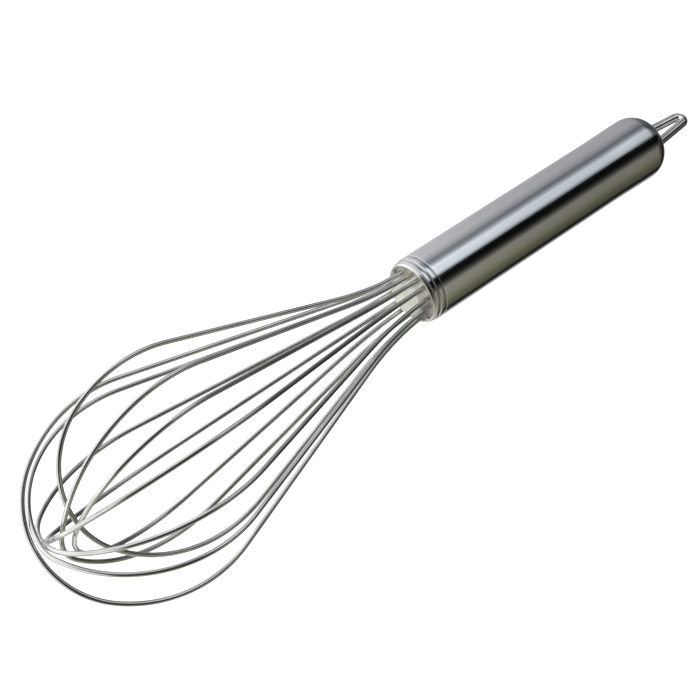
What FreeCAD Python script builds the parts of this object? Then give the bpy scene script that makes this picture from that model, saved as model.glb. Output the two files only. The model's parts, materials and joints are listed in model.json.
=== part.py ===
import FreeCAD, Part
import math
import os

# Balloon whisk, stainless steel, 12 inch size. Millimetres.
#
# The whisk is drawn about its own axis first: X runs along the handle axis from
# the mouth plane (x = 0) to the butt, the wire cage lies on the -X side, and azimuths
# are measured about X from +Y towards +Z. Then everything is laid down the way
# the whisk rests on a table: on the butt of the handle and on two wire loops.

# ---- driving dimensions -----------------------------------------------------
HANDLE_R = 12.5            # outside radius of the grip
BUTT_R = 12.75             # the grip swells very slightly towards the butt
HANDLE_LEN = 129.8         # mouth plane to the end of the domed butt
TUBE_WALL = 0.8
GRIP_END_X = 98.0          # the grip is a true cylinder from the shoulder to here
CAP_SEAM_X = 118.0         # weld line between the tube and the end cap
BUTT_ROUND = 8.65          # round between the grip and the butt face
BUTT_CROWN = 0.7           # rise of the butt face

LIP_FRONT = 0.9            # front of the rolled rim, from the mouth plane
LIP_IN_R = 10.95           # the rim stands between these two radii
LIP_CREST_R = 11.25        # the front of the rim
LIP_OUT_R = 11.75
LIP_ROLL = 0.25            # depth of the rim's inner round
LIP_END = 1.6              # the lip meets the tube here
FLARE_R = 11.1             # the tube's mouth is flared from here down to the sleeve
FLARE_END = 2.7
MOUTH_R = 9.9              # clear radius inside the sleeve
MOUTH_START = 2.5          # the flare inside the lip ends here
SLEEVE_R = 10.4            # outside radius of the ferrule sleeve in the tube
SLEEVE_DEPTH = 9.0
GROOVE_1_R = 11.5          # groove between the lip and the first bead
GROOVE_1_END = 2.2
BEAD_1_FOOT = 12.04        # first bead: short walls, a low crest, and where it ends
BEAD_1_R = 12.15
BEAD_1_END = 3.8
GROOVE_2_R = 11.92
GROOVE_2_END = 4.1
BEAD_2_FOOT = 12.38
BEAD_2_R = 12.5
BEAD_2_END = 6.3
GROOVE_3_R = 12.36
GROOVE_3_END = 6.6
SHOULDER_R = 12.42         # foot of the rounded shoulder
SHOULDER_END = 8.0

WIRE_D = 1.7
RING_R = 8.5               # wires stand on this circle in the mouth
WIRE_ROOT_X = 16.0         # how deep the wire ends reach into the handle
WIRE_BEND_X = -11.9        # where the lines of a wire's root and leg would meet
WIRE_BEND_R = 118.6        # slow outward curve between the root and the leg

PLUG_R = 7.6               # core plug that the wires lie round
PLUG_ROUND = 1.6
PLUG_OUT = 2.6             # how far the plug stands out of the mouth plane
FILL_FRONT_X = 2.6         # sealing compound, front face
DISC_THICK = 1.2           # stop disc behind the wire ends

EYE_WIRE_D = 3.5           # hanging loop
EYE_OUT = 20.9             # how far it stands out of the butt
EYE_TIP_R = 2.15           # centre-line radius of its tip
EYE_FOOT = 4.0             # half the distance between its legs at the butt face
EYE_ROOT_X = 124.5         # where its legs end inside the cap
EYE_AZIMUTH = -37.3        # the plane of the eye
WASHER_R = 6.8             # washer that the legs are welded to, inside the cap
WASHER_THICK = 1.2
WASHER_SET = 0.65          # its rim bears on the round, so it stands off the face

# Wire loops, inner to outer. Each loop is flat. Its legs leave the mouth along the
# axis, curve slowly outwards, run straight, and are tangent to the two side arcs,
# which are tangent to the tip arc.
# reach: mouth to the tip of the loop; off: sideways shift of the tip;
# tip_r, side_r: radii; wide_a, wide_b: half widths on its two sides;
# azimuth: of the loop's plane; tilt: lean of that plane off the whisk axis.
LOOPS = [
    dict(reach=145.0, off=1.8, tip_r=30.6, side_r=49.0, wide_a=34.4, wide_b=35.5, azimuth=22.8, tilt=-0.2),
    dict(reach=149.7, off=0.4, tip_r=30.0, side_r=39.4, wide_a=38.3, wide_b=37.2, azimuth=71.3, tilt=3.2),
    dict(reach=151.9, off=-7.9, tip_r=13.7, side_r=50.5, wide_a=31.0, wide_b=35.4, azimuth=48.8, tilt=1.0),
    dict(reach=155.2, off=-2.1, tip_r=26.1, side_r=58.0, wide_a=38.8, wide_b=35.9, azimuth=94.1, tilt=1.3),
    dict(reach=157.3, off=3.3, tip_r=25.1, side_r=50.0, wide_a=39.7, wide_b=29.4, azimuth=121.7, tilt=1.1),
    dict(reach=159.2, off=5.6, tip_r=15.3, side_r=45.2, wide_a=40.3, wide_b=33.7, azimuth=146.0, tilt=0.1),
    dict(reach=160.2, off=5.6, tip_r=32.4, side_r=48.8, wide_a=41.7, wide_b=30.4, azimuth=178.6, tilt=1.1),
]

# Resting pose: the table faces this azimuth, and the handle dips by the pitch.
REST_AZIMUTH = 218.90
REST_PITCH = 5.829


# ---- helpers ----------------------------------------------------------------
def vec(x, y, z=0.0):
    return FreeCAD.Vector(x, y, z)


def seg(p, q):
    return Part.LineSegment(p, q).toShape()


def arc(p, mid, q):
    return Part.Arc(p, mid, q).toShape()


def fillet_arc(corner, p, q, radius):
    """Tangent arc that rounds the corner between the runs to p and to q."""
    u = (p - corner).normalize()
    w = (q - corner).normalize()
    half = math.acos(max(-1.0, min(1.0, u.dot(w)))) / 2
    cut = radius / math.tan(half)
    centre = corner + (u + w).normalize() * (radius / math.sin(half))
    start = corner + u * cut
    end = corner + w * cut
    mid = centre + (corner - centre).normalize() * radius
    return start, mid, end


def revolved(edges):
    """Solid of revolution about X from a closed chain of edges in the XY plane."""
    face = Part.Face(Part.Wire(edges))
    return face.revolve(vec(0, 0), vec(1, 0), 360)


def closed_profile(points):
    """Straight-sided closed chain through (x, r) points."""
    pts = [vec(x, r) for x, r in points]
    return [seg(a, b) for a, b in zip(pts, pts[1:] + pts[:1])]


def cylinder(x0, x1, radius):
    return Part.makeCylinder(radius, x1 - x0, vec(x0, 0), vec(1, 0))


def bent_rod(edges, start, direction, diameter):
    """Round rod swept along a chain of straight runs and tangent arcs."""
    section = Part.Wire(Part.makeCircle(diameter / 2, start, direction))
    rod = Part.Wire(edges).makePipeShell([section], True, False)
    length = sum(edge.Length for edge in edges)
    ideal = length * math.pi * diameter ** 2 / 4
    print("  rod %.1f mm, volume / ideal %.4f" % (length, rod.Volume / ideal))
    return rod


# ---- handle -----------------------------------------------------------------
def handle_tube():
    """Grip tube with two rolled beads and a rounded shoulder at the mouth."""
    x1 = LIP_END
    x2 = GROOVE_1_END
    x3 = BEAD_1_END
    x4 = GROOVE_2_END
    x5 = BEAD_2_END
    x6 = GROOVE_3_END
    x7 = SHOULDER_END
    bore = HANDLE_R - TUBE_WALL
    shoulder_mid = vec(x6 + (x7 - x6) * 0.42, SHOULDER_R + (HANDLE_R - SHOULDER_R) * 0.72)
    edges = [
        seg(vec(x1, FLARE_R), vec(x1, GROOVE_1_R)),
        seg(vec(x1, GROOVE_1_R), vec(x2, GROOVE_1_R)),
        seg(vec(x2, GROOVE_1_R), vec(x2, BEAD_1_FOOT)),
        arc(vec(x2, BEAD_1_FOOT), vec((x2 + x3) / 2, BEAD_1_R), vec(x3, BEAD_1_FOOT)),
        seg(vec(x3, BEAD_1_FOOT), vec(x3, GROOVE_2_R)),
        seg(vec(x3, GROOVE_2_R), vec(x4, GROOVE_2_R)),
        seg(vec(x4, GROOVE_2_R), vec(x4, BEAD_2_FOOT)),
        arc(vec(x4, BEAD_2_FOOT), vec((x4 + x5) / 2, BEAD_2_R), vec(x5, BEAD_2_FOOT)),
        seg(vec(x5, BEAD_2_FOOT), vec(x5, GROOVE_3_R)),
        seg(vec(x5, GROOVE_3_R), vec(x6, GROOVE_3_R)),
        seg(vec(x6, GROOVE_3_R), vec(x6, SHOULDER_R)),
        arc(vec(x6, SHOULDER_R), shoulder_mid, vec(x7, HANDLE_R)),
        seg(vec(x7, HANDLE_R), vec(GRIP_END_X, HANDLE_R)),
        seg(vec(GRIP_END_X, HANDLE_R), vec(CAP_SEAM_X, BUTT_R)),
        seg(vec(CAP_SEAM_X, BUTT_R), vec(CAP_SEAM_X, bore)),
        seg(vec(CAP_SEAM_X, bore), vec(SLEEVE_DEPTH + 1.5, bore)),
        seg(vec(SLEEVE_DEPTH + 1.5, bore), vec(SLEEVE_DEPTH, SLEEVE_R)),
        seg(vec(SLEEVE_DEPTH, SLEEVE_R), vec(FLARE_END, SLEEVE_R)),
        seg(vec(FLARE_END, SLEEVE_R), vec(x1, FLARE_R)),
    ]
    return revolved(edges)


def mouth_ferrule():
    """Bright rolled rim, flared down to a sleeve that is pressed into the tube."""
    x_rim = LIP_FRONT + LIP_ROLL
    inner_mid = vec(LIP_FRONT + LIP_ROLL * 0.29, LIP_CREST_R - (LIP_CREST_R - LIP_IN_R) * 0.71)
    depth = LIP_END - LIP_FRONT
    outer_mid = vec(LIP_FRONT + depth * 0.42, LIP_CREST_R + (LIP_OUT_R - LIP_CREST_R) * 0.58)
    edges = [
        seg(vec(SLEEVE_DEPTH, MOUTH_R), vec(MOUTH_START, MOUTH_R)),
        seg(vec(MOUTH_START, MOUTH_R), vec(x_rim, LIP_IN_R)),
        arc(vec(x_rim, LIP_IN_R), inner_mid, vec(LIP_FRONT, LIP_CREST_R)),
        arc(vec(LIP_FRONT, LIP_CREST_R), outer_mid, vec(LIP_END, LIP_OUT_R)),
        seg(vec(LIP_END, LIP_OUT_R), vec(LIP_END, FLARE_R)),
        seg(vec(LIP_END, FLARE_R), vec(FLARE_END, SLEEVE_R)),
        seg(vec(FLARE_END, SLEEVE_R), vec(SLEEVE_DEPTH, SLEEVE_R)),
        seg(vec(SLEEVE_DEPTH, SLEEVE_R), vec(SLEEVE_DEPTH, MOUTH_R)),
    ]
    return revolved(edges)


def end_cap(eye):
    """Domed cap butt-welded to the tube, drilled for the hanging loop."""
    outer_flat = BUTT_R - BUTT_ROUND
    x_round = HANDLE_LEN - BUTT_CROWN - BUTT_ROUND
    x_face = HANDLE_LEN - BUTT_CROWN
    d = math.sqrt(0.5)
    bore = HANDLE_R - TUBE_WALL
    inner_round = BUTT_ROUND - TUBE_WALL
    x_inner = x_face - TUBE_WALL
    crown_r = (outer_flat ** 2 + BUTT_CROWN ** 2) / (2 * BUTT_CROWN)
    half = math.asin(outer_flat / crown_r) / 2
    crown_mid = vec(HANDLE_LEN - crown_r * (1 - math.cos(half)), crown_r * math.sin(half))
    edges = [
        seg(vec(CAP_SEAM_X, bore), vec(CAP_SEAM_X, BUTT_R)),
        seg(vec(CAP_SEAM_X, BUTT_R), vec(x_round, BUTT_R)),
        arc(vec(x_round, BUTT_R),
            vec(x_round + BUTT_ROUND * d, outer_flat + BUTT_ROUND * d),
            vec(x_face, outer_flat)),
        arc(vec(x_face, outer_flat), crown_mid, vec(HANDLE_LEN, 0)),
        seg(vec(HANDLE_LEN, 0), vec(x_inner, 0)),
        seg(vec(x_inner, 0), vec(x_inner, bore - inner_round)),
        arc(vec(x_inner, bore - inner_round),
            vec(x_inner - inner_round * (1 - d), bore - inner_round * (1 - d)),
            vec(x_inner - inner_round, bore)),
        seg(vec(x_inner - inner_round, bore), vec(CAP_SEAM_X, bore)),
    ]
    dome = revolved(edges)
    dome.rotate(vec(0, 0), vec(1, 0), 90)
    return dome.cut(eye)


def hanging_loop():
    """Polished eye of round bar: legs draw together to a tight tip."""
    tip_cx = HANDLE_LEN + EYE_OUT - EYE_WIRE_D / 2 - EYE_TIP_R
    dist = math.hypot(tip_cx - HANDLE_LEN, EYE_FOOT)
    slope = math.atan2(EYE_FOOT, tip_cx - HANDLE_LEN) - math.asin(EYE_TIP_R / dist)
    end = (tip_cx + EYE_TIP_R * math.sin(slope), EYE_TIP_R * math.cos(slope))
    root_r = EYE_FOOT + (HANDLE_LEN - EYE_ROOT_X) * math.tan(slope)
    az = math.radians(EYE_AZIMUTH)

    def in_plane(x, across):
        return vec(x, across * math.cos(az), across * math.sin(az))

    a = in_plane(EYE_ROOT_X, root_r)
    b = in_plane(end[0], end[1])
    tip = in_plane(tip_cx + EYE_TIP_R, 0)
    c = in_plane(end[0], -end[1])
    d = in_plane(EYE_ROOT_X, -root_r)
    return bent_rod([seg(a, b), arc(b, tip, c), seg(c, d)], a, b - a, EYE_WIRE_D)


def loop_washer(eye):
    """Backing washer behind the butt face, welded to both legs of the eye."""
    x1 = HANDLE_LEN - BUTT_CROWN - TUBE_WALL - WASHER_SET
    return cylinder(x1 - WASHER_THICK, x1, WASHER_R).cut(eye)


# ---- mouth ------------------------------------------------------------------
def core_plug():
    """Rounded rod in the middle of the mouth that holds the wires apart."""
    x0 = -PLUG_OUT
    flat = PLUG_R - PLUG_ROUND
    d = PLUG_ROUND * (1 - math.sqrt(0.5))
    edges = [
        seg(vec(WIRE_ROOT_X, 0), vec(x0, 0)),
        seg(vec(x0, 0), vec(x0, flat)),
        arc(vec(x0, flat), vec(x0 + d, PLUG_R - d), vec(x0 + PLUG_ROUND, PLUG_R)),
        seg(vec(x0 + PLUG_ROUND, PLUG_R), vec(WIRE_ROOT_X, PLUG_R)),
        seg(vec(WIRE_ROOT_X, PLUG_R), vec(WIRE_ROOT_X, 0)),
    ]
    return revolved(edges)


def sealing_fill(rods):
    """Compound cast round the wires between the plug and the tube."""
    bore = HANDLE_R - TUBE_WALL
    ring = revolved(closed_profile([
        (FILL_FRONT_X, PLUG_R),
        (FILL_FRONT_X, MOUTH_R),
        (SLEEVE_DEPTH, MOUTH_R),
        (SLEEVE_DEPTH, SLEEVE_R),
        (SLEEVE_DEPTH + 1.5, bore),
        (WIRE_ROOT_X, bore),
        (WIRE_ROOT_X, PLUG_R),
    ]))
    for rod in rods:
        ring = ring.cut(rod)
    return ring


def stop_disc():
    """Disc that the wire ends, the plug and the compound stand against."""
    return cylinder(WIRE_ROOT_X, WIRE_ROOT_X + DISC_THICK, HANDLE_R - TUBE_WALL)


# ---- wire loops -------------------------------------------------------------
def side_geometry(loop, side):
    """Leg end, side-arc midpoint and junction on one side, in (x, across)."""
    wide = loop["wide_a"] if side > 0 else loop["wide_b"]
    tip_cx = loop["reach"] - loop["tip_r"]
    tip_cy = loop["off"]
    gap = loop["side_r"] - loop["tip_r"]
    side_cy = side * (wide - loop["side_r"])
    side_cx = tip_cx - math.sqrt(gap ** 2 - (side_cy - tip_cy) ** 2)
    # tangent from the leg's corner to the side arc
    kx = -WIRE_BEND_X
    ky = side * RING_R
    dx = side_cx - kx
    dy = side_cy - ky
    dist = math.hypot(dx, dy)
    run = math.sqrt(dist ** 2 - loop["side_r"] ** 2)
    turn = side * math.asin(loop["side_r"] / dist)
    heading = math.atan2(dy, dx) + turn
    leg_end = (kx + run * math.cos(heading), ky + run * math.sin(heading))
    away = math.atan2(tip_cy - side_cy, tip_cx - side_cx)
    join = (tip_cx + loop["tip_r"] * math.cos(away), tip_cy + loop["tip_r"] * math.sin(away))
    start = math.atan2(leg_end[1] - side_cy, leg_end[0] - side_cx)
    half = (start + away) / 2
    mid = (side_cx + loop["side_r"] * math.cos(half), side_cy + loop["side_r"] * math.sin(half))
    return leg_end, mid, join


def loop_point(loop, x, across):
    """From the loop's own plane to the whisk: x counts from the mouth to the tip."""
    tilt = math.radians(loop["tilt"])
    azimuth = math.radians(loop["azimuth"])
    out = (x + WIRE_BEND_X) * math.sin(tilt)
    along = WIRE_BEND_X - (x + WIRE_BEND_X) * math.cos(tilt)
    y = across * math.cos(azimuth) - out * math.sin(azimuth)
    z = across * math.sin(azimuth) + out * math.cos(azimuth)
    return vec(along, y, z)


def wire_loop(loop):
    """One loop of spring wire: root, bend, leg, side, tip, side, leg, bend, root."""
    sides = {}
    for side in (1, -1):
        leg_end, mid, join = side_geometry(loop, side)
        corner = loop_point(loop, -WIRE_BEND_X, side * RING_R)
        root = vec(WIRE_ROOT_X, corner.y, corner.z)
        leg_end = loop_point(loop, *leg_end)
        bend = fillet_arc(corner, root, leg_end, WIRE_BEND_R)
        sides[side] = dict(root=root, bend=bend, leg_end=leg_end,
                           mid=loop_point(loop, *mid), join=loop_point(loop, *join))
    a = sides[1]
    b = sides[-1]
    tip = loop_point(loop, loop["reach"], loop["off"])
    edges = [
        seg(a["root"], a["bend"][0]),
        arc(*a["bend"]),
        seg(a["bend"][2], a["leg_end"]),
        arc(a["leg_end"], a["mid"], a["join"]),
        arc(a["join"], tip, b["join"]),
        arc(b["join"], b["mid"], b["leg_end"]),
        seg(b["leg_end"], b["bend"][2]),
        arc(b["bend"][2], b["bend"][1], b["bend"][0]),
        seg(b["bend"][0], b["root"]),
    ]
    return bent_rod(edges, a["root"], vec(-1, 0), WIRE_D)


# ---- assembly ---------------------------------------------------------------
def rest_placement(shapes):
    """Placement that lays the whisk on the table with its box on the origin."""
    az = math.radians(REST_AZIMUTH)
    pitch = math.radians(REST_PITCH)
    down = vec(math.sin(pitch), math.cos(pitch) * math.cos(az), math.cos(pitch) * math.sin(az))
    up = down * -1
    along = (vec(1, 0) - up * up.x).normalize()
    left = up.cross(along)
    matrix = FreeCAD.Matrix(along.x, along.y, along.z, 0,
                            left.x, left.y, left.z, 0,
                            up.x, up.y, up.z, 0,
                            0, 0, 0, 1)
    turn = FreeCAD.Placement(matrix)
    box = FreeCAD.BoundBox()
    for shape in shapes:
        turned = shape.copy()
        turned.Placement = turn
        box.add(turned.optimalBoundingBox(False, False))
    shift = vec(-(box.XMin + box.XMax) / 2, -(box.YMin + box.YMax) / 2, -box.ZMin)
    print("box %.1f x %.1f x %.1f mm" % (box.XLength, box.YLength, box.ZLength))
    return FreeCAD.Placement(shift, turn.Rotation)


def main():
    os.makedirs("parts", exist_ok=True)
    eye = hanging_loop()
    parts = {
        "handle_tube": handle_tube(),
        "mouth_ferrule": mouth_ferrule(),
        "end_cap": end_cap(eye),
        "hanging_loop": eye,
        "loop_washer": loop_washer(eye),
        "core_plug": core_plug(),
        "stop_disc": stop_disc(),
    }
    rods = [wire_loop(loop) for loop in LOOPS]
    for number, rod in enumerate(rods, 1):
        parts["wire_loop_%d" % number] = rod
    parts["sealing_fill"] = sealing_fill(rods)
    rest = rest_placement(list(parts.values()))
    print("mouth centre", rest.multVec(vec(0, 0)), "butt", rest.multVec(vec(HANDLE_LEN, 0)))
    for name, shape in parts.items():
        if shape.ShapeType != "Solid" and len(shape.Solids) == 1:
            shape = shape.Solids[0]
        placed = shape.copy()
        placed.Placement = rest
        print(name, placed.ShapeType, placed.isValid(), round(placed.Volume, 1))
        placed.exportStep("parts/%s.step" % name)


main()
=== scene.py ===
import bpy
import json
import math
from mathutils import Matrix, Vector


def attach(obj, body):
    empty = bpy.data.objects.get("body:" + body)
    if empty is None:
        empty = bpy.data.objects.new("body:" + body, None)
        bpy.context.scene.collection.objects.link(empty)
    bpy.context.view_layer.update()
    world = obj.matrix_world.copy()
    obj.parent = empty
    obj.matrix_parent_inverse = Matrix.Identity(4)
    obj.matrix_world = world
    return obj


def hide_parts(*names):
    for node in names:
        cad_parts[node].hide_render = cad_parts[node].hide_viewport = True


# Balloon whisk. Pieces are made in the whisk's own axes, in millimetres: X runs
# from the mouth of the handle to its butt, and the cage lies at negative X. One
# matrix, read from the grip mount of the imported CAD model, turns their points
# into the model's metres. Profiles are lists of (x, radius).

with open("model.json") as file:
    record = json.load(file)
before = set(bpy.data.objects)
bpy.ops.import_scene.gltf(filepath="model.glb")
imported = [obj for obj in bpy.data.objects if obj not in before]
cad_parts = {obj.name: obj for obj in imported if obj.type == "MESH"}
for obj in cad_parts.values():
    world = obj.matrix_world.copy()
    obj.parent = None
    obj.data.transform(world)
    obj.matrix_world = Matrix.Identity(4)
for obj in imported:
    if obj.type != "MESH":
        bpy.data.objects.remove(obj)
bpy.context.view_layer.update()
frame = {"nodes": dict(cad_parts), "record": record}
MM = 0.001

# ---- place and resting turn -------------------------------------------------
GRIP_MID = 53.0            # the grip mount's place along the whisk
REST_AZIMUTH = math.radians(218.90)

# ---- handle -----------------------------------------------------------------
HANDLE_LEN = 129.8
HANDLE_R = 12.5
SWELL_START = 98.0         # the tube widens from here to the cap
CAP_START = 118.0
BUTT_R = 12.75
BUTT_ROUND = 8.65
BUTT_CROWN = 0.7

# ---- beaded neck, from the mouth backwards ----------------------------------
EDGE = 0.04                # eased edges
SEAT = (2.7, 10.45)        # inner end of the tube's flared seat
SEAT_OUT_R = 11.12
GROOVE_1_R = 11.5
GROOVE_1_END = 2.2
BEAD_1_FOOT = 12.05
BEAD_1_R = 12.15
BEAD_1_END = 3.8
GROOVE_2_R = 11.92
GROOVE_2_END = 4.1
BEAD_2_FOOT = 12.385
BEAD_2_R = 12.5
BEAD_2_END = 6.3
GROOVE_3_R = 12.36
GROOVE_3_END = 6.6
SHOULDER_R = 12.42
SHOULDER_END = 8.0

# ---- lip --------------------------------------------------------------------
SLEEVE_DEPTH = 9.0
MOUTH_R = 9.9
FLARE = [(2.56, 9.9), (2.46, 9.93), (1.28, 10.88)]
RIM_IN = [(1.16, 10.95), (1.05, 10.99), (0.97, 11.05), (0.92, 11.14)]
RIM_CREST = (0.9, 11.25)
RIM_OUT = [(0.92, 11.31), (0.97, 11.38), (1.05, 11.45), (1.19, 11.54), (1.36, 11.63), (1.55, 11.72)]
LIP_END = 1.6

# ---- plug and hanging eye ---------------------------------------------------
PLUG_R = 7.6
PLUG_ROUND = 1.6
PLUG_OUT = 2.6             # how far it stands out of the mouth
PLUG_STRAIGHT = -1.0       # from here it is straight
PLUG_LEN = 17.0            # length of the straight part
EYE_WIRE_R = 1.75
EYE_OUT = 20.9
EYE_TIP_R = 2.15
EYE_FOOT = 4.0             # half the spread of the legs at the butt
EYE_ROOT_X = 124.6
EYE_AZIMUTH = math.radians(-37.3)

# ---- cage -------------------------------------------------------------------
WIRE_R = 0.85
RING_R = 8.5               # circle on which the wires stand in the mouth
ROOT_X = 15.9
BEND_X = -11.9             # where a leg would turn if its bend had no radius
BEND_R = 118.6
# Flat loops, inner to outer. reach: mouth to tip; off: sideways shift of the tip;
# tip_r, side_r: radii; wide_a, wide_b: half widths on the two sides; azimuth: of
# the loop's plane; tilt: lean of that plane off the whisk's axis.
LOOPS = [
    dict(reach=145.0, off=1.8, tip_r=30.6, side_r=49.0, wide_a=34.4, wide_b=35.5, azimuth=22.8, tilt=-0.2),
    dict(reach=149.7, off=0.4, tip_r=30.0, side_r=39.4, wide_a=38.3, wide_b=37.2, azimuth=71.3, tilt=3.2),
    dict(reach=151.9, off=-7.9, tip_r=13.7, side_r=50.5, wide_a=31.0, wide_b=35.4, azimuth=48.8, tilt=1.0),
    dict(reach=155.2, off=-2.1, tip_r=26.1, side_r=58.0, wide_a=38.8, wide_b=35.9, azimuth=94.1, tilt=1.3),
    dict(reach=157.3, off=3.3, tip_r=25.1, side_r=50.0, wide_a=39.7, wide_b=29.4, azimuth=121.7, tilt=1.1),
    dict(reach=159.2, off=5.6, tip_r=15.3, side_r=45.2, wide_a=40.3, wide_b=33.7, azimuth=146.0, tilt=0.1),
    dict(reach=160.2, off=5.6, tip_r=32.4, side_r=48.8, wide_a=41.7, wide_b=30.4, azimuth=178.6, tilt=1.1),
]

# ---- mesh fineness ----------------------------------------------------------
TURN_STEPS = 192           # round the turned pieces
PLUG_STEPS = 128
WIRE_SIDES = 24
EYE_SIDES = 32

# ---- camera -----------------------------------------------------------------
LENS = 78.648
SENSOR = 36.0
SLANT = math.radians(63.193)    # between the whisk's axis and the line of sight
TWIST = math.radians(-33.271)   # of the whisk's axis in the picture
MOUTH_SEEN = (21.14, -19.48, 543.72)    # right, down and away from the camera

# ---- studio -----------------------------------------------------------------
FLOOR_HALF = 6.0           # metres
FLOOR_DROP = 0.0002
PANEL_SIZE = 1.2
PANEL_POWER = 20.0
PANEL_AWAY = 1.1           # metres from the mouth
PANEL_SIDE = (-0.72, 0.2, 0.66)     # in the whisk's own axes
STUDIO_STRENGTH = 1.6
END_PANEL = (0.7, 0.7, 0.68, 1)     # beyond the tip of the cage
# Colour of the long panels round the whisk's axis, by azimuth in degrees.
STUDIO_BANDS = [
    (-180, (0.12, 0.12, 0.08)),
    (-157, (0.07, 0.07, 0.05)),
    (-146, (0.01, 0.01, 0.01)),
    (-132, (0.01, 0.01, 0.01)),
    (-120, (0.34, 0.34, 0.33)),
    (-95, (0.50, 0.50, 0.50)),
    (-60, (0.45, 0.45, 0.47)),
    (2, (0.45, 0.45, 0.47)),
    (20, (0.32, 0.33, 0.34)),
    (31, (0.16, 0.17, 0.19)),
    (40, (0.19, 0.21, 0.23)),
    (48, (0.38, 0.42, 0.46)),
    (56, (0.72, 0.77, 0.82)),
    (76, (0.62, 0.68, 0.73)),
    (84, (0.40, 0.45, 0.49)),
    (90, (0.0, 0.0, 0.0)),
    (111, (0.005, 0.005, 0.005)),
    (121, (0.05, 0.05, 0.04)),
    (134, (0.22, 0.22, 0.18)),
    (150, (0.22, 0.21, 0.17)),
    (168, (0.17, 0.17, 0.12)),
    (180, (0.12, 0.12, 0.08)),
]
# How those panels fade towards the butt; the place runs from -1, the cage's end
# of the whisk's axis, to 1, the butt's end.
STUDIO_FADE = [
    (0.36, (1.0, 1.0, 1.0)),
    (0.50, (0.93, 0.93, 0.93)),
    (0.56, (0.70, 0.70, 0.70)),
    (0.66, (0.56, 0.56, 0.56)),
    (0.74, (0.44, 0.44, 0.44)),
    (0.82, (0.22, 0.22, 0.22)),
    (0.95, (0.12, 0.12, 0.12)),
]
# Broad panels on the cage's side of the studio, by azimuth again.
STUDIO_WASH = [
    (-180, (0.26, 0.25, 0.20)),
    (-150, (0.30, 0.29, 0.25)),
    (-128, (0.55, 0.55, 0.54)),
    (-112, (0.27, 0.27, 0.27)),
    (-72, (0.27, 0.27, 0.27)),
    (-56, (0.66, 0.66, 0.66)),
    (-5, (0.75, 0.75, 0.75)),
    (20, (0.66, 0.67, 0.68)),
    (48, (0.55, 0.57, 0.59)),
    (62, (0.06, 0.06, 0.06)),
    (112, (0.01, 0.01, 0.01)),
    (136, (0.03, 0.03, 0.03)),
    (160, (0.15, 0.14, 0.12)),
    (180, (0.25, 0.24, 0.20)),
]
# Where one set of panels passes into the next, from 0 at the cage to 1 at the butt.
WASH_TO_BANDS = (0.56, 0.66)
END_TO_WASH = (0.05, 0.10)


# ---- the whisk's own axes ---------------------------------------------------
def whisk_matrix():
    """Matrix from the whisk's own axes to the model's, from the grip mount."""
    grip = next(m for m in frame["record"]["mounts"] if m["name"] == "grip")
    along = Vector(grip["axis"]).normalized()
    mouth = Vector(grip["pos_m"]) - along * GRIP_MID * MM
    up = Vector((0, 0, 1))
    left = up.cross(along).normalized()
    over = along.cross(left)
    # own Y and Z are turned about the axis so that the resting azimuth faces down
    c, s = math.cos(REST_AZIMUTH), math.sin(REST_AZIMUTH)
    own_y = over * -c + left * -s
    own_z = over * -s + left * c
    return matrix_of(along, own_y, own_z, mouth)


def matrix_of(x_axis, y_axis, z_axis, origin):
    m = Matrix.Identity(4)
    for row in range(3):
        m[row][0] = x_axis[row]
        m[row][1] = y_axis[row]
        m[row][2] = z_axis[row]
        m[row][3] = origin[row]
    return m


WHISK = whisk_matrix()


def whisk_dir(x, y, z):
    """Direction in the model's axes of one given in the whisk's own."""
    return (WHISK.to_3x3() @ Vector((x, y, z))).normalized()


# ---- mesh helpers -----------------------------------------------------------
def add_piece(name, verts, faces, material, replaces):
    """Smooth mesh riding on the one body. Points come in whisk axes, in mm."""
    own = [Vector(v) * MM for v in verts]
    mesh = bpy.data.meshes.new(name)
    mesh.from_pydata([WHISK @ v for v in own], [], faces)
    mesh.materials.append(material)
    for poly in mesh.polygons:
        poly.use_smooth = True
    keep_own(mesh, own)
    mesh.update()
    obj = bpy.data.objects.new(name, mesh)
    bpy.context.scene.collection.objects.link(obj)
    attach(obj, "root")
    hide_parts(*replaces)


def keep_own(mesh, own):
    """Stores the whisk's own coordinates of every vertex, for the materials."""
    layer = mesh.attributes.new("own", "FLOAT_VECTOR", "POINT")
    for item, v in zip(layer.data, own):
        item.vector = v


def arc_points(centre, radius, a0, a1, count):
    """Points (x, r) on an arc; angles in degrees from +X towards +r."""
    out = []
    for i in range(count + 1):
        a = math.radians(a0 + (a1 - a0) * i / count)
        out.append((centre[0] + radius * math.cos(a), centre[1] + radius * math.sin(a)))
    return out


def arch(start, crest, end, count):
    """Arc from start to end that passes the crest's radius midway: a bead."""
    x1, r1 = (start[0] + end[0]) / 2, crest
    ax, ar, bx, br = start[0] - x1, start[1] - r1, end[0] - x1, end[1] - r1
    d = 2 * (ax * br - ar * bx)
    a2, b2 = ax * ax + ar * ar, bx * bx + br * br
    cx = (br * a2 - ar * b2) / d
    cr = (ax * b2 - bx * a2) / d
    radius = math.hypot(cx, cr)
    first = math.degrees(math.atan2(ar - cr, ax - cx))
    last = math.degrees(math.atan2(br - cr, bx - cx))
    return arc_points((x1 + cx, r1 + cr), radius, first, last, count)


def ring_faces(rings, sides):
    """Quads between rings of points, each ring with the same number of sides."""
    faces = []
    for i in range(rings - 1):
        for k in range(sides):
            n = (k + 1) % sides
            faces.append((i * sides + k, i * sides + n, (i + 1) * sides + n, (i + 1) * sides + k))
    return faces


def lathe(profile, steps=TURN_STEPS):
    """Vertices and faces of a profile turned about X."""
    verts = []
    for x, r in profile:
        for k in range(steps):
            a = 2 * math.pi * k / steps
            verts.append((x, r * math.cos(a), r * math.sin(a)))
    return verts, ring_faces(len(profile), steps)


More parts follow.
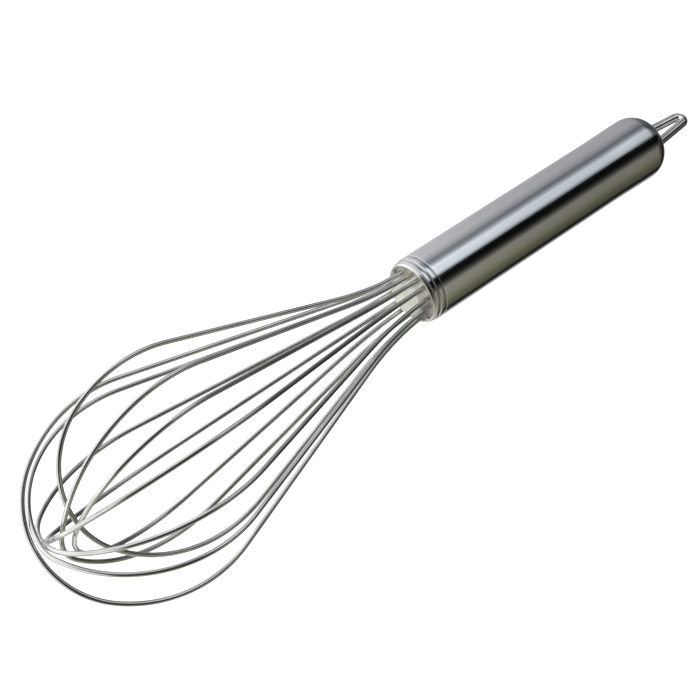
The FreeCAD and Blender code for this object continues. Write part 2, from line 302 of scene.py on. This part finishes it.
def tube(points, radius, sides):
    """Closed-ended round tube along a list of points, turned without twist."""
    verts = []
    normal = None
    for i, p in enumerate(points):
        before = points[max(i - 1, 0)]
        after = points[min(i + 1, len(points) - 1)]
        tangent = (after - before).normalized()
        if normal is None:
            normal = tangent.orthogonal().normalized()
        normal = (normal - tangent * normal.dot(tangent)).normalized()
        side = tangent.cross(normal)
        for k in range(sides):
            a = 2 * math.pi * k / sides
            verts.append(p + (normal * math.cos(a) + side * math.sin(a)) * radius)
    faces = ring_faces(len(points), sides)
    faces.append(tuple(range(sides - 1, -1, -1)))
    last = (len(points) - 1) * sides
    faces.append(tuple(range(last, last + sides)))
    return verts, faces


# ---- wire centre lines ------------------------------------------------------
def loop_to_whisk(loop, x, across):
    """Point of a loop's own plane, x towards its tip, in the whisk's axes."""
    tilt = math.radians(loop["tilt"])
    azimuth = math.radians(loop["azimuth"])
    out = (x + BEND_X) * math.sin(tilt)
    along = BEND_X - (x + BEND_X) * math.cos(tilt)
    y = across * math.cos(azimuth) - out * math.sin(azimuth)
    z = across * math.sin(azimuth) + out * math.cos(azimuth)
    return Vector((along, y, z))


def bend(corner, p, q, radius, count=8):
    """Points of the tangent arc that rounds a corner between runs to p and q."""
    u = (p - corner).normalized()
    w = (q - corner).normalized()
    half = math.acos(max(-1.0, min(1.0, u.dot(w)))) / 2
    centre = corner + (u + w).normalized() * (radius / math.sin(half))
    start = corner + u * (radius / math.tan(half)) - centre
    end = corner + w * (radius / math.tan(half)) - centre
    sweep = start.angle(end)
    out = []
    for i in range(count + 1):
        k = i / count
        a = math.sin((1 - k) * sweep) / math.sin(sweep)
        b = math.sin(k * sweep) / math.sin(sweep)
        out.append(centre + start * a + end * b)
    return out


def half_loop(loop, side):
    """Centre line of one side, from its root in the handle to the tip."""
    leg_steps, side_steps, tip_steps, clear = 24, 40, 32, 1.0
    wide = loop["wide_a"] if side > 0 else loop["wide_b"]
    tip = Vector((loop["reach"] - loop["tip_r"], loop["off"]))
    centre_y = side * (wide - loop["side_r"])
    gap = loop["side_r"] - loop["tip_r"]
    centre = Vector((tip.x - math.sqrt(gap ** 2 - (centre_y - tip.y) ** 2), centre_y))
    start = Vector((-BEND_X, side * RING_R))
    to = centre - start
    run = math.sqrt(to.length_squared - loop["side_r"] ** 2)
    heading = math.atan2(to.y, to.x) + side * math.asin(loop["side_r"] / to.length)
    leg_end = start + Vector((math.cos(heading), math.sin(heading))) * run
    away = math.atan2(tip.y - centre.y, tip.x - centre.x)
    first = math.atan2(leg_end.y - centre.y, leg_end.x - centre.x)
    flat = [start.lerp(leg_end, i / leg_steps) for i in range(1, leg_steps + 1)]
    for i in range(1, side_steps + 1):
        a = first + (away - first) * i / side_steps
        flat.append(centre + Vector((math.cos(a), math.sin(a))) * loop["side_r"])
    for i in range(1, tip_steps + 1):
        a = away * (1 - i / tip_steps)
        flat.append(tip + Vector((math.cos(a), math.sin(a))) * loop["tip_r"])
    corner = loop_to_whisk(loop, start.x, start.y)
    root = Vector((ROOT_X, corner.y, corner.z))
    leg = loop_to_whisk(loop, leg_end.x, leg_end.y)
    line = [root] + bend(corner, root, leg, BEND_R)
    reach = (line[-1] - corner).length
    for p in flat:
        q = loop_to_whisk(loop, p.x, p.y)
        if (q - corner).length > reach + clear:
            line.append(q)
    return line


def wire_line(loop):
    """Whole centre line, from one root round the tip to the other."""
    return half_loop(loop, 1) + half_loop(loop, -1)[::-1][1:]


# ---- node trees -------------------------------------------------------------
class Nodes:
    """Short names for building a node tree."""

    def __init__(self, tree, out_kind):
        self.tree = tree
        tree.nodes.clear()
        self.out = self.add(out_kind)

    def add(self, kind):
        return self.tree.nodes.new(kind)

    def link(self, a, b):
        self.tree.links.new(a, b)

    def ramp(self, value, stops):
        node = self.add("ShaderNodeValToRGB")
        elements = node.color_ramp.elements
        while len(elements) < len(stops):
            elements.new(0.5)
        for element, (place, colour) in zip(elements, stops):
            element.position = place
            element.color = (*colour, 1.0)
        self.link(value, node.inputs["Fac"])
        return node.outputs["Color"]

    def spread(self, value, low, high, out_low, out_high):
        node = self.add("ShaderNodeMapRange")
        ends = {"From Min": low, "From Max": high, "To Min": out_low, "To Max": out_high}
        for key, number in ends.items():
            node.inputs[key].default_value = number
        self.link(value, node.inputs["Value"])
        return node.outputs["Result"]


class Finish(Nodes):
    """Material with one shader, whose patterns keep to the whisk's own axes."""

    def __init__(self, name, **values):
        self.material = bpy.data.materials.new(name)
        self.material.use_nodes = True
        super().__init__(self.material.node_tree, "ShaderNodeOutputMaterial")
        self.shader = self.add("ShaderNodeBsdfPrincipled")
        self.link(self.shader.outputs["BSDF"], self.out.inputs["Surface"])
        for key, value in values.items():
            self.shader.inputs[key].default_value = value
        own = self.add("ShaderNodeAttribute")
        own.attribute_name = "own"
        self.coord = own.outputs["Vector"]

    def noise(self, scales, detail, rough, distort=0.0):
        """Noise with its own scale along the whisk and across it, per metre."""
        mapping = self.add("ShaderNodeMapping")
        mapping.inputs["Scale"].default_value = scales
        self.link(self.coord, mapping.inputs["Vector"])
        node = self.add("ShaderNodeTexNoise")
        node.inputs["Scale"].default_value = 1.0
        node.inputs["Detail"].default_value = detail
        node.inputs["Roughness"].default_value = rough
        node.inputs["Distortion"].default_value = distort
        self.link(mapping.outputs["Vector"], node.inputs["Vector"])
        return node.outputs["Fac"]

    def colour(self, value, low, low_colour, high, high_colour):
        stops = [(low, low_colour), (high, high_colour)]
        self.link(self.ramp(value, stops), self.shader.inputs["Base Color"])

    def roughness(self, value):
        self.link(value, self.shader.inputs["Roughness"])

    def bump(self, height, strength, distance):
        node = self.add("ShaderNodeBump")
        node.inputs["Strength"].default_value = strength
        node.inputs["Distance"].default_value = distance
        self.link(height, node.inputs["Height"])
        self.link(node.outputs["Normal"], self.shader.inputs["Normal"])


def shade(tint, share):
    return tuple(c * share for c in tint)


def brushed_steel(name, tint, rough):
    """Steel with a fine lengthwise grain, faint hairlines and soft blotches."""
    n = Finish(name, Metallic=1.0)
    grain = n.noise((40, 5200, 5200), 2.0, 0.6)
    hairs = n.noise((18, 1500, 1500), 4.0, 0.7)
    blotch = n.noise((55, 90, 90), 3.0, 0.5)
    n.colour(hairs, 0.3, shade(tint, 0.88), 0.62, tint)
    mixed = n.add("ShaderNodeMath")
    mixed.operation = "ADD"
    n.link(n.spread(grain, 0.3, 0.7, rough - 0.03, rough + 0.03), mixed.inputs[0])
    n.link(n.spread(blotch, 0.3, 0.7, -0.015, 0.02), mixed.inputs[1])
    n.roughness(mixed.outputs["Value"])
    n.bump(grain, 0.10, 0.00001)
    return n.material


def polished_steel(name, tint, rough):
    """Bright steel with a thin film, fine scratches and dull specks."""
    n = Finish(name, Metallic=1.0)
    film = n.noise((160, 160, 160), 3.0, 0.55)
    scratch = n.noise((300, 2600, 2600), 2.0, 0.6, 0.4)
    n.colour(film, 0.32, shade(tint, 0.8), 0.6, tint)
    n.roughness(n.spread(scratch, 0.3, 0.72, rough * 0.6, rough * 1.6))
    n.bump(scratch, 0.08, 0.00002)
    return n.material


def drawn_wire(name, tint, rough):
    """Spring wire with fine drawing marks and a film that is darker in places."""
    n = Finish(name, Metallic=1.0)
    marks = n.noise((900, 900, 900), 3.0, 0.6, 0.6)
    film = n.noise((60, 60, 60), 3.0, 0.5)
    n.colour(film, 0.34, shade(tint, 0.72), 0.62, tint)
    n.roughness(n.spread(marks, 0.3, 0.7, rough * 0.7, rough * 1.5))
    n.bump(marks, 0.12, 0.00003)
    return n.material


def satin_plug(name):
    """Pale satin plug with fine turned rings and a slight mottle."""
    n = Finish(name, Metallic=0.0, IOR=1.48)
    rings = n.noise((1400, 60, 60), 2.0, 0.5)
    mottle = n.noise((220, 220, 220), 4.0, 0.6)
    n.colour(mottle, 0.3, (0.53, 0.52, 0.46), 0.7, (0.66, 0.65, 0.59))
    n.roughness(n.spread(rings, 0.3, 0.7, 0.34, 0.5))
    n.bump(rings, 0.15, 0.00004)
    return n.material


def compound(name):
    """Grey sealing compound, lumpy and dull."""
    n = Finish(name, Metallic=0.0, IOR=1.5)
    lumps = n.noise((700, 700, 700), 4.0, 0.6)
    n.colour(lumps, 0.3, (0.26, 0.255, 0.23), 0.7, (0.46, 0.45, 0.41))
    n.roughness(n.spread(lumps, 0.3, 0.7, 0.5, 0.75))
    n.bump(lumps, 0.4, 0.0002)
    return n.material


STEEL = brushed_steel("brushed_tube", (0.78, 0.78, 0.785), 0.115)
LIP = polished_steel("bright_lip", (0.88, 0.87, 0.84), 0.14)
EYE = polished_steel("polished_eye", (0.86, 0.86, 0.85), 0.07)
WIRE = drawn_wire("spring_wire", (0.80, 0.80, 0.78), 0.11)
PLUG = satin_plug("satin_plug")
SEAL = compound("sealing_compound")
PLAIN = brushed_steel("plain_steel", (0.52, 0.52, 0.51), 0.38)


# ---- pieces -----------------------------------------------------------------
def make_handle():
    """Grip tube with a flared seat for the lip and a grooved, beaded neck."""
    profile = [SEAT, (LIP_END + EDGE, SEAT_OUT_R), (LIP_END, SEAT_OUT_R + 0.08)]
    profile += [(LIP_END, GROOVE_1_R - 0.06), (LIP_END + 0.06, GROOVE_1_R)]
    profile += [(GROOVE_1_END - 0.06, GROOVE_1_R), (GROOVE_1_END, GROOVE_1_R + 0.06)]
    profile += [(GROOVE_1_END, BEAD_1_FOOT - 0.07)]
    start, end = (GROOVE_1_END + EDGE, BEAD_1_FOOT), (BEAD_1_END - EDGE, BEAD_1_FOOT)
    profile += arch(start, BEAD_1_R, end, 16)
    profile += [(BEAD_1_END, BEAD_1_FOOT - 0.02), (BEAD_1_END + 0.02, GROOVE_2_R + 0.02)]
    profile += [((BEAD_1_END + GROOVE_2_END) / 2, GROOVE_2_R)]
    profile += [(GROOVE_2_END - 0.02, GROOVE_2_R + 0.02), (GROOVE_2_END, GROOVE_2_R + 0.08)]
    profile += [(GROOVE_2_END, BEAD_2_FOOT - 0.045)]
    start, end = (GROOVE_2_END + EDGE, BEAD_2_FOOT), (BEAD_2_END - EDGE, BEAD_2_FOOT)
    profile += arch(start, BEAD_2_R, end, 20)
    profile += [(BEAD_2_END, BEAD_2_FOOT - 0.01), (BEAD_2_END + 0.05, GROOVE_3_R)]
    profile += [((BEAD_2_END + GROOVE_3_END) / 2, GROOVE_3_R)]
    profile += [(GROOVE_3_END - 0.05, GROOVE_3_R + 0.005), (GROOVE_3_END, GROOVE_3_R + 0.04)]
    for i in range(1, 13):
        a = i / 12 * math.pi / 2
        x = GROOVE_3_END + (SHOULDER_END - GROOVE_3_END) * (1 - math.cos(a))
        profile.append((x, SHOULDER_R + (HANDLE_R - SHOULDER_R) * math.sin(a)))
    grip_len = SWELL_START - SHOULDER_END
    profile += [(SHOULDER_END + grip_len * i / 40, HANDLE_R) for i in range(1, 41)]
    for i in range(1, 21):
        k = i / 20
        x = SWELL_START + (CAP_START - SWELL_START) * k
        profile.append((x, HANDLE_R + (BUTT_R - HANDLE_R) * (3 * k * k - 2 * k ** 3)))
    verts, faces = lathe(profile)
    add_piece("grip_tube", verts, faces, STEEL, ["handle_tube"])


def make_cap():
    """Domed butt: a straight band, a large rounding and a shallow crown."""
    flat_r = BUTT_R - BUTT_ROUND
    round_x = HANDLE_LEN - BUTT_CROWN - BUTT_ROUND
    profile = [(CAP_START + (round_x - CAP_START) * i / 6, BUTT_R) for i in range(7)]
    profile += arc_points((round_x, flat_r), BUTT_ROUND, 90, 0, 40)[1:]
    crown_r = (flat_r ** 2 + BUTT_CROWN ** 2) / (2 * BUTT_CROWN)
    span = math.degrees(math.asin(flat_r / crown_r))
    profile += arc_points((HANDLE_LEN - crown_r, 0), crown_r, span, 0.4, 14)[1:]
    verts, faces = lathe(profile)
    faces.append(tuple(range((len(profile) - 1) * TURN_STEPS, len(profile) * TURN_STEPS)))
    add_piece("domed_butt", verts, faces, STEEL, ["end_cap"])


def make_lip():
    """Rolled rim, flared down to the sleeve inside the tube."""
    profile = [(SLEEVE_DEPTH, MOUTH_R)] + FLARE + RIM_IN + [RIM_CREST] + RIM_OUT
    profile += [(LIP_END, 11.73), (LIP_END, 11.6), (LIP_END, 11.15)]
    verts, faces = lathe(profile)
    add_piece("mouth_lip", verts, faces, LIP, ["mouth_ferrule"])


def make_plug():
    """Round-nosed plug in the middle of the wires."""
    profile = [(-PLUG_OUT, 0.05), (-PLUG_OUT, 2.0), (-PLUG_OUT, 4.0)]
    profile += arc_points((-PLUG_OUT + PLUG_ROUND, PLUG_R - PLUG_ROUND), PLUG_ROUND, 180, 90, 16)
    profile += [(PLUG_STRAIGHT + PLUG_LEN * i / 10, PLUG_R) for i in range(1, 11)]
    verts, faces = lathe(profile, PLUG_STEPS)
    faces.append(tuple(range(PLUG_STEPS - 1, -1, -1)))
    add_piece("core_rod", verts, faces, PLUG, ["core_plug"])


def make_eye():
    """Bent rod: two legs that close towards a small round tip."""
    tip_x = HANDLE_LEN + EYE_OUT - EYE_WIRE_R - EYE_TIP_R
    length = tip_x - HANDLE_LEN
    slope = math.atan2(EYE_FOOT, length) - math.asin(EYE_TIP_R / math.hypot(length, EYE_FOOT))
    start = 90 - math.degrees(slope)
    tip = arc_points((tip_x, 0), EYE_TIP_R, start, -start, 40)
    root = Vector((EYE_ROOT_X, EYE_FOOT + (HANDLE_LEN - EYE_ROOT_X) * math.tan(slope)))
    leg = [tuple(root.lerp(Vector(tip[0]), i / 16)) for i in range(16)]
    line = leg + tip + [(x, -y) for x, y in reversed(leg)]
    c, s = math.cos(EYE_AZIMUTH), math.sin(EYE_AZIMUTH)
    verts, faces = tube([Vector((x, y * c, y * s)) for x, y in line], EYE_WIRE_R, EYE_SIDES)
    add_piece("hanging_eye", verts, faces, EYE, ["hanging_loop"])


def make_cage():
    for number, loop in enumerate(LOOPS, 1):
        verts, faces = tube(wire_line(loop), WIRE_R, WIRE_SIDES)
        replaced = ["wire_loop_%d" % number]
        add_piece("cage_wire_%d" % number, verts, faces, WIRE, replaced)


def finish_node(node, material):
    """Gives a CAD piece that stays its finish; its shape isn't touched."""
    obj = frame["nodes"][node]
    back = WHISK.inverted() @ obj.matrix_world
    keep_own(obj.data, [back @ v.co for v in obj.data.vertices])
    for entry in obj.material_slots:
        entry.material = material


# ---- floor, light and camera ------------------------------------------------
def make_floor():
    """Plain pale floor. It shows to the camera and lets all other rays through,
    so that bare metal mirrors the studio round it."""
    mesh = bpy.data.meshes.new("floor")
    corners = [(-1, -1), (1, -1), (1, 1), (-1, 1)]
    mesh.from_pydata([(x * FLOOR_HALF, y * FLOOR_HALF, 0) for x, y in corners], [], [(0, 1, 2, 3)])
    floor = bpy.data.objects.new("floor", mesh)
    bpy.context.scene.collection.objects.link(floor)
    floor.location = (0, 0, -FLOOR_DROP)
    material = bpy.data.materials.new("pale_floor")
    material.use_nodes = True
    n = Nodes(material.node_tree, "ShaderNodeOutputMaterial")
    glow = n.add("ShaderNodeEmission")
    glow.inputs["Color"].default_value = (1, 1, 1, 1)
    glow.inputs["Strength"].default_value = 1.0
    matte = n.add("ShaderNodeBsdfDiffuse")
    matte.inputs["Color"].default_value = (0.25, 0.25, 0.25, 1)
    both = n.add("ShaderNodeAddShader")
    clear = n.add("ShaderNodeBsdfTransparent")
    mix = n.add("ShaderNodeMixShader")
    n.link(glow.outputs[0], both.inputs[0])
    n.link(matte.outputs[0], both.inputs[1])
    n.link(n.add("ShaderNodeLightPath").outputs["Is Camera Ray"], mix.inputs["Fac"])
    n.link(clear.outputs[0], mix.inputs[1])
    n.link(both.outputs[0], mix.inputs[2])
    n.link(mix.outputs[0], n.out.inputs["Surface"])
    mesh.materials.append(material)


class Studio(Nodes):
    """World of soft panels that run along the whisk, with dark gaps between."""

    def __init__(self):
        world = bpy.data.worlds.new("studio")
        bpy.context.scene.world = world
        world.use_nodes = True
        super().__init__(world.node_tree, "ShaderNodeOutputWorld")
        self.coord = self.add("ShaderNodeTexCoord").outputs["Generated"]

    def part(self, axis):
        """How far a direction points along an axis, from -1 to 1."""
        dot = self.add("ShaderNodeVectorMath")
        dot.operation = "DOT_PRODUCT"
        self.link(self.coord, dot.inputs[0])
        dot.inputs[1].default_value = axis
        return dot.outputs["Value"]

    def blend(self, kind, a, b):
        """Mix node of two colours; its factor is the first input."""
        node = self.add("ShaderNodeMix")
        node.data_type = "RGBA"
        node.blend_type = kind
        node.clamp_result = False
        self.link(a, node.inputs[6])
        self.link(b, node.inputs[7])
        return node


def by_azimuth(stops):
    return [((azimuth + 180) / 360, colour) for azimuth, colour in stops]


def make_studio():
    n = Studio()
    turn = n.add("ShaderNodeMath")
    turn.operation = "ARCTAN2"
    n.link(n.part(whisk_dir(0, 0, 1)), turn.inputs[0])
    n.link(n.part(whisk_dir(0, 1, 0)), turn.inputs[1])
    azimuth = n.spread(turn.outputs[0], -math.pi, math.pi, 0.0, 1.0)
    along = n.spread(n.part(whisk_dir(1, 0, 0)), -1.0, 1.0, 0.0, 1.0)

    fade = n.ramp(along, [((place + 1) / 2, colour) for place, colour in STUDIO_FADE])
    bands = n.blend("MULTIPLY", n.ramp(azimuth, by_azimuth(STUDIO_BANDS)), fade)
    bands.inputs[0].default_value = 1.0
    end_panel = n.add("ShaderNodeRGB").outputs[0]
    end_panel.default_value = END_PANEL
    wash = n.blend("MIX", n.ramp(azimuth, by_azimuth(STUDIO_WASH)), end_panel)
    n.link(n.spread(along, END_TO_WASH[1], END_TO_WASH[0], 0.0, 1.0), wash.inputs[0])
    panels = n.blend("MIX", bands.outputs[2], wash.outputs[2])
    n.link(n.spread(along, WASH_TO_BANDS[1], WASH_TO_BANDS[0], 0.0, 1.0), panels.inputs[0])

    studio = n.add("ShaderNodeBackground")
    n.link(panels.outputs[2], studio.inputs["Color"])
    studio.inputs["Strength"].default_value = STUDIO_STRENGTH
    white = n.add("ShaderNodeBackground")
    white.inputs["Color"].default_value = (1, 1, 1, 1)
    mix = n.add("ShaderNodeMixShader")
    n.link(n.add("ShaderNodeLightPath").outputs["Is Camera Ray"], mix.inputs["Fac"])
    n.link(studio.outputs[0], mix.inputs[1])
    n.link(white.outputs[0], mix.inputs[2])
    n.link(mix.outputs[0], n.out.inputs["Surface"])


def make_lights():
    """Large soft panel on the cage's side, which lights the plug in the mouth."""
    data = bpy.data.lights.new("soft_panel", "AREA")
    data.shape = "RECTANGLE"
    data.size = PANEL_SIZE
    data.size_y = PANEL_SIZE
    data.energy = PANEL_POWER
    lamp = bpy.data.objects.new("soft_panel", data)
    bpy.context.scene.collection.objects.link(lamp)
    place = WHISK.translation + whisk_dir(*PANEL_SIDE) * PANEL_AWAY
    lamp.location = place
    lamp.rotation_euler = (Vector((0, 0, 0.02)) - place).to_track_quat("-Z", "Y").to_euler()
    lamp.visible_camera = False
    lamp.visible_glossy = False


def make_camera():
    """Camera near the cage, looking down on the whisk along its length."""
    data = bpy.data.cameras.new("camera")
    data.sensor_width = SENSOR
    data.lens = LENS
    data.clip_start = 0.01
    cam = bpy.data.objects.new("camera", data)
    bpy.context.scene.collection.objects.link(cam)
    # the whisk's axes as the camera sees them: right, down, away
    across = math.sin(SLANT)
    own_x = Vector((across * math.cos(TWIST), across * math.sin(TWIST), math.cos(SLANT)))
    own_y = own_x.cross(Vector((0, 0, 1))).normalized()
    own_z = own_x.cross(own_y)
    to_model = WHISK.to_3x3() @ Matrix((own_x, own_y, own_z))
    right = to_model @ Vector((1, 0, 0))
    down = to_model @ Vector((0, 1, 0))
    away = to_model @ Vector((0, 0, 1))
    mouth_right, mouth_down, mouth_away = MOUTH_SEEN
    offset = right * mouth_right + down * mouth_down + away * mouth_away
    cam.matrix_world = matrix_of(right, -down, -away, WHISK.translation - offset * MM)
    bpy.context.scene.camera = cam


make_handle()
make_cap()
make_lip()
make_plug()
make_eye()
make_cage()
finish_node("sealing_fill", SEAL)
finish_node("stop_disc", PLAIN)
finish_node("loop_washer", PLAIN)

make_floor()
make_studio()
make_lights()
make_camera()
bpy.context.scene.view_settings.view_transform = "Standard"
